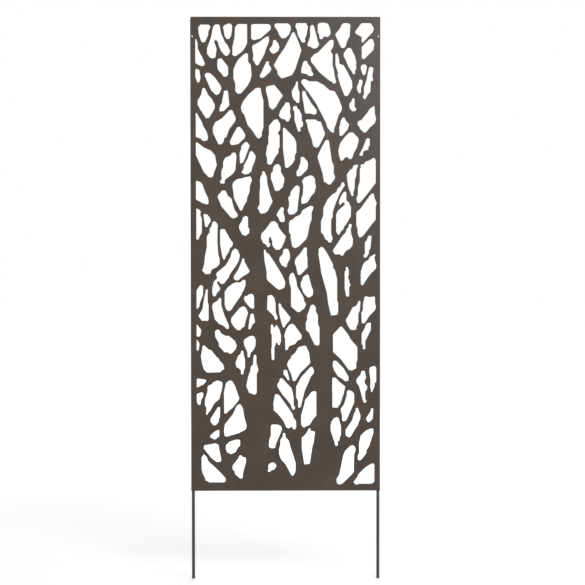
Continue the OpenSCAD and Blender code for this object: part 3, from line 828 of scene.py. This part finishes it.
@dataclass
class Screw:
    """A button-head screw with a hexagon socket, a shank and a real thread."""

    radius: float = 2.0 * MM
    length: float = 16 * MM
    shank_share: float = 0.3
    tip_round: float = 0.2 * MM
    pitch: float = 0.7 * MM
    thread_depth: float = 0.38 * MM
    thread_turns: int = 9
    thread_steps: int = 32
    thread_sunk: float = 0.1 * MM
    root_share: float = 0.48
    crest_share: float = 0.07
    head_radius: float = 3.8 * MM
    head_height: float = 2.2 * MM
    head_rim: float = 0.3 * MM
    head_steps: int = 8
    socket_flats: float = 2.5 * MM
    socket_depth: float = 1.3 * MM
    edge_round: float = 0.08 * MM
    edge_degrees: float = 45.0
    sides: int = 48

    def build(self) -> bpy.types.Object:
        """Models the screw along Z, with the seat of its head at the origin.

        Returns:
            The finished screw.
        """
        screw = rod(self.head_radius, -self.head_height, 0, self.sides)
        with editing(screw, Pick.FACES):
            pick(Pick.FACES, lambda at, normal: normal.z > FACING)
            bpy.ops.mesh.inset(thickness=self.head_radius - self.radius)
            draw_out(self.length * self.shank_share)
            bpy.ops.mesh.inset(thickness=self.thread_depth)
            draw_out(self.length * (1 - self.shank_share))
        with editing(screw, Pick.EDGES):
            pick(Pick.EDGES, lambda at, along: at.z < CLOSE - self.head_height)
            bpy.ops.mesh.bevel(
                offset=self.head_height - self.head_rim,
                segments=self.head_steps,
                profile=0.5,
                affect="EDGES",
            )
            pick(Pick.EDGES, lambda at, along: at.z > self.length - CLOSE)
            bpy.ops.mesh.bevel(offset=self.tip_round, segments=ROUNDING_STEPS, affect="EDGES")
        floor = self.socket_depth - self.head_height
        cut(screw, rod(across_corners(self.socket_flats), -2 * self.head_height, floor, HEXAGON))
        soften(screw, self.edge_round, self.edge_degrees)
        only(screw, self.thread())
        bpy.ops.object.join()
        return screw

    def thread(self) -> bpy.types.Object:
        """Models the turns of thread at the screw's end as one closed ridge.

        Returns:
            The ridge, round Z.
        """
        root = self.radius - self.thread_depth - self.thread_sunk
        middle = self.length - self.pitch * self.thread_turns - self.pitch / 2
        bpy.ops.object.select_all(action="DESELECT")
        bpy.ops.mesh.primitive_circle_add(vertices=4, radius=1, fill_type="NOTHING")
        ridge = bpy.context.active_object
        profile = (
            (root, self.root_share * self.pitch),
            (root, -self.root_share * self.pitch),
            (self.radius, -self.crest_share * self.pitch),
            (self.radius, self.crest_share * self.pitch),
        )
        for vert, (out, up) in zip(ridge.data.vertices, profile):
            vert.co = (out, 0, middle + up)
        apply_modifier(
            ridge,
            "SCREW",
            axis="Z",
            steps=self.thread_steps,
            render_steps=self.thread_steps,
            screw_offset=self.pitch,
            iterations=self.thread_turns,
            use_smooth_shade=False,
        )
        with editing(ridge, Pick.EDGES):
            bpy.ops.mesh.select_all(action="SELECT")
            bpy.ops.mesh.fill_holes(sides=4)
            bpy.ops.mesh.select_all(action="SELECT")
            bpy.ops.mesh.normals_make_consistent(inside=False)
        return ridge


@dataclass
class Washer:
    """A stamped washer with slightly rounded edges."""

    radius: float = 4.5 * MM
    thickness: float = 0.8 * MM
    hole_radius: float = BORE_RADIUS
    edge_round: float = 0.12 * MM
    edge_degrees: float = 50.0
    sides: int = 48

    def build(self) -> bpy.types.Object:
        """Models the washer along Z, with its front at the origin.

        Returns:
            The finished washer.
        """
        washer = rod(self.radius, 0, self.thickness, self.sides)
        with editing(washer, Pick.FACES):
            pick(Pick.FACES, lambda at, normal: abs(normal.z) > FACING)
            bpy.ops.mesh.inset(thickness=self.radius - self.hole_radius)
            bpy.ops.mesh.delete(type="FACE")
        with editing(washer, Pick.EDGES):
            pick_rims(self.hole_radius)
            bpy.ops.mesh.bridge_edge_loops()
        soften(washer, self.edge_round, self.edge_degrees)
        return washer


@dataclass
class Nut:
    """A hexagon nut with chamfered corners and a countersunk bore."""

    flats: float = 7.0 * MM
    height: float = 3.2 * MM
    chamfer_degrees: float = 30.0
    hole_radius: float = BORE_RADIUS
    countersink: float = 0.3 * MM
    edge_round: float = 0.1 * MM
    edge_degrees: float = 25.0
    sides: int = 48

    def build(self) -> bpy.types.Object:
        """Models the nut along Z, with its front at the origin.

        Returns:
            The finished nut.
        """
        corner = across_corners(self.flats)
        drop = (corner - self.flats / 2) * math.tan(math.radians(self.chamfer_degrees))
        shrink = self.flats / 2 / corner
        nut = rod(corner, 0, self.height, HEXAGON)
        turned = rod(corner, drop, self.height - drop, self.sides)
        with editing(turned, Pick.FACES):
            for up, end in ((1, self.height), (-1, 0.0)):
                pick(Pick.FACES, lambda at, normal: normal.z * up > FACING)
                draw_out(up * drop)
                bpy.ops.transform.resize(value=(shrink, shrink, 1), center_override=(0, 0, end))
        cut(nut, turned, Keep.SHARED)
        cut(nut, rod(self.hole_radius, -MM, self.height + MM, self.sides))
        clean(nut)
        with editing(nut, Pick.EDGES):
            pick_rims(self.hole_radius)
            bpy.ops.mesh.bevel(offset=self.countersink, segments=1, affect="EDGES")
        soften(nut, self.edge_round, self.edge_degrees)
        clean(nut)
        return nut


@dataclass
class Fasteners:
    """The screw, washer and nut that hold one stake, and the same again on the other side."""

    stake: Stake = field(default_factory=Stake)
    screw: Screw = field(default_factory=Screw)
    washer: Washer = field(default_factory=Washer)
    nut: Nut = field(default_factory=Nut)
    sheet: float = 1.2 * MM
    stake_gap: float = 0.3 * MM
    coat_gap: float = 0.02 * MM
    smooth_degrees: float = 30.0

    def dress(self) -> None:
        """Builds the fasteners of both stakes and hands them over."""
        head_seat = -(self.stake.radius + self.stake_gap + self.sheet + self.coat_gap)
        washer_seat = self.stake.radius - self.stake.flat_depth
        nut_seat = washer_seat + self.washer.thickness
        kinds = (
            ("screw", self.screw.build(), head_seat, "screw_coat", SCREW_COAT.material()),
            ("washer", self.washer.build(), washer_seat, "washer_zinc", WASHER_ZINC.material()),
            ("nut", self.nut.build(), nut_seat, "nut_zinc", NUT_ZINC.material()),
        )
        for word, piece, seat, slot, finish in kinds:
            place(piece, (-self.stake.spacing / 2, seat, self.stake.bore_height))
            smooth(piece, self.smooth_degrees)
            piece.name = piece.data.name = f"{word}_left"
            other = twin(piece, f"{word}_right", self.stake.spacing)
            for copy, side in ((piece, Side.LEFT), (other, Side.RIGHT)):
                Dressed(copy, f"stake_{word}_{side.value}", slot, finish).hand_over()


# ---- Studio ---------------------------------------------------------------------------------


@dataclass(frozen=True)
class Softbox:
    """A flat lamp that looks at a point."""

    name: str
    spot: tuple[float, float, float]
    aim: tuple[float, float, float]
    size: tuple[float, float]
    watts: float
    colour: str = WHITE

    def switch_on(self) -> None:
        """Adds the lamp."""
        lamp = bpy.data.lights.new(self.name, "AREA")
        lamp.shape = "RECTANGLE"
        lamp.size, lamp.size_y = self.size
        lamp.energy = self.watts
        lamp.color = linear(self.colour)[:3]
        stand = bpy.data.objects.new(self.name, lamp)
        bpy.context.scene.collection.objects.link(stand)
        stand.location = self.spot
        look = Vector(self.aim) - Vector(self.spot)
        stand.rotation_euler = look.to_track_quat("-Z", "Y").to_euler()


LAMPS = (
    Softbox("key_softbox", (2.6, -3.6, 3.4), (0.0, 0.0, 0.9), (1.8, 1.8), 70.0),
    Softbox("fill_softbox", (-3.0, -3.2, 1.8), (0.0, 0.0, 0.7), (2.4, 2.4), 12.0),
    Softbox("sheen_softbox", (0.7, -1.4, 1.7), (0.4, 0.0, 1.35), (0.4, 1.2), 7.2, "#d8e6ff"),
    Softbox("rear_softbox", (0.5, 3.4, 2.6), (0.0, 0.0, 0.7), (2.4, 2.4), 60.0),
)


@dataclass
class Studio:
    """The pale floor at the stakes' feet, the light and the camera."""

    floor_level: float = Stake.foot
    floor_reach: float = 30.0
    floor_paint: str = "#f2f2f2"
    glow: tuple[float, float] = (0.27, 0.56)
    glow_reach: tuple[float, float] = (1.5, 5.0)
    camera_spot: tuple[float, float, float] = (-0.0093, -4.0, 0.7141)
    camera_turn: tuple[float, float, float] = (88.796, 0.043, -0.452)
    lens: float = 77.64
    sensor_width: float = 36.0
    sight: float = 100.0
    ambient: float = 0.5
    lamps: tuple[Softbox, ...] = LAMPS

    def floor(self) -> None:
        """Lays the floor: white all over where it is looked at, but for the screen's shadow.

        The lamps light only the middle of the floor, so its own glow rises outwards.
        """
        bpy.ops.object.select_all(action="DESELECT")
        bpy.ops.mesh.primitive_plane_add(
            size=2 * self.floor_reach, location=(0, 0, self.floor_level)
        )
        floor = bpy.context.active_object
        floor.name = "floor"
        material = blank_material("white_studio_floor")
        tree = material.node_tree
        paint = add_node(tree, "ShaderNodeBsdfDiffuse", {"Color": linear(self.floor_paint)})
        distance = add_node(
            tree, "ShaderNodeVectorMath", {"operation": "LENGTH", 0: coordinates(tree)}
        ).outputs["Value"]
        rise = stretch(tree, distance, self.glow_reach, self.glow)
        lift = reckon(tree, Reckon.PRODUCT, looked_at(tree), rise)
        glow = add_node(tree, "ShaderNodeEmission", {"Color": linear(WHITE), "Strength": lift})
        both = add_node(
            tree,
            "ShaderNodeAddShader",
            {0: paint.outputs["BSDF"], 1: glow.outputs["Emission"]},
        )
        add_node(tree, "ShaderNodeOutputMaterial", {"Surface": both.outputs["Shader"]})
        floor.data.materials.append(material)

    def air(self) -> None:
        """Makes the world: white to the camera and in gloss, a plain grey light otherwise."""
        world = bpy.data.worlds.new("studio")
        bpy.context.scene.world = world
        world.use_nodes = True
        tree = world.node_tree
        tree.nodes.clear()
        level = stretch(tree, looked_at(tree), (0.0, 1.0), (self.ambient, 1.0))
        light = add_node(
            tree, "ShaderNodeBackground", {"Color": linear(WHITE), "Strength": level}
        )
        add_node(tree, "ShaderNodeOutputWorld", {"Surface": light.outputs["Background"]})

    def camera(self) -> None:
        """Sets up the camera at the photograph's viewing angle."""
        eye = bpy.data.cameras.new("camera")
        eye.lens = self.lens
        eye.sensor_width = self.sensor_width
        eye.clip_end = self.sight
        stand = bpy.data.objects.new("camera", eye)
        bpy.context.scene.collection.objects.link(stand)
        stand.location = self.camera_spot
        stand.rotation_euler = [math.radians(turn) for turn in self.camera_turn]
        bpy.context.scene.camera = stand

    def set_up(self) -> None:
        """Builds the whole studio."""
        bpy.context.scene.view_settings.view_transform = "Standard"
        self.camera()
        self.floor()
        self.air()
        for lamp in self.lamps:
            lamp.switch_on()


def main() -> None:
    """Builds the screen and its studio."""
    logging.basicConfig(level=logging.INFO, format="%(message)s")
    Studio().set_up()
    Panel().dress()
    Stake().dress()
    Fasteners().dress()


if __name__ == "__main__":
    main()
